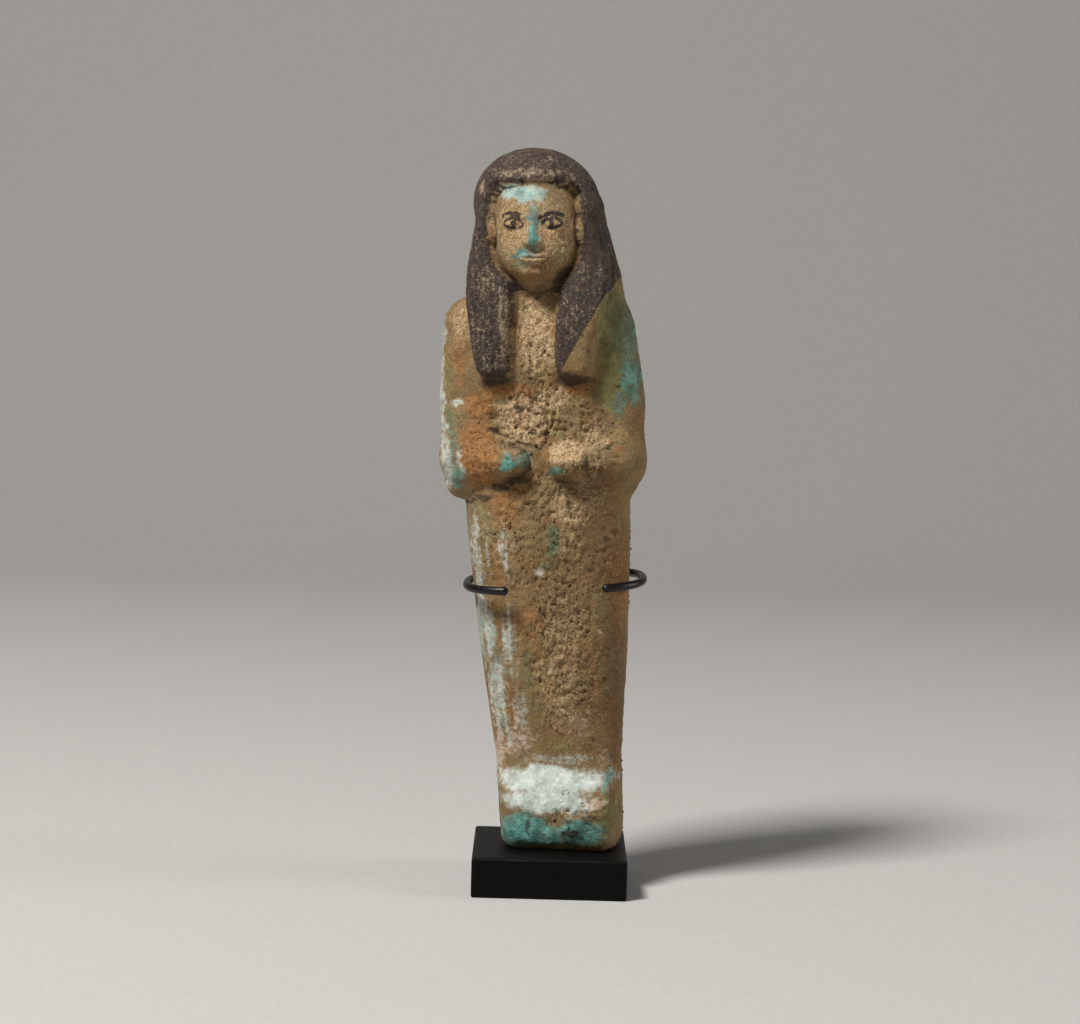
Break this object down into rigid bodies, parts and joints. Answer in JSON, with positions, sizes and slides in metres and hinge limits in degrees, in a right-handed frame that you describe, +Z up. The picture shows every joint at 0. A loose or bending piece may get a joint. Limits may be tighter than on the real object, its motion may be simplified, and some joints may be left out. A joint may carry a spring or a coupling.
{
  "type": "ushabti figurine",
  "caption": "Ancient Egyptian mummiform faience servant figure with a dark tripartite wig, standing on a small black block and held by a bent wire cradle.",
  "frame": {"origin": "centre of the stand block's underside", "axes": "+Z up, the figure faces -Y, +X to the right of a viewer who faces the figure"},
  "size_m": [0.0366, 0.03, 0.1268],
  "materials": {
    "faience": "Weathered faience: ochre sandy body with worn turquoise glaze patches and a matt brown-black painted wig",
    "block_black": "Black stained and painted hardwood block, satin, edges eased",
    "wire_black": "Brass wire painted satin black"
  },
  "bodies": {
    "root": {"figurine": "faience", "stand_block": "block_black", "stand_cradle": "wire_black"}
  },
  "joints": []
}
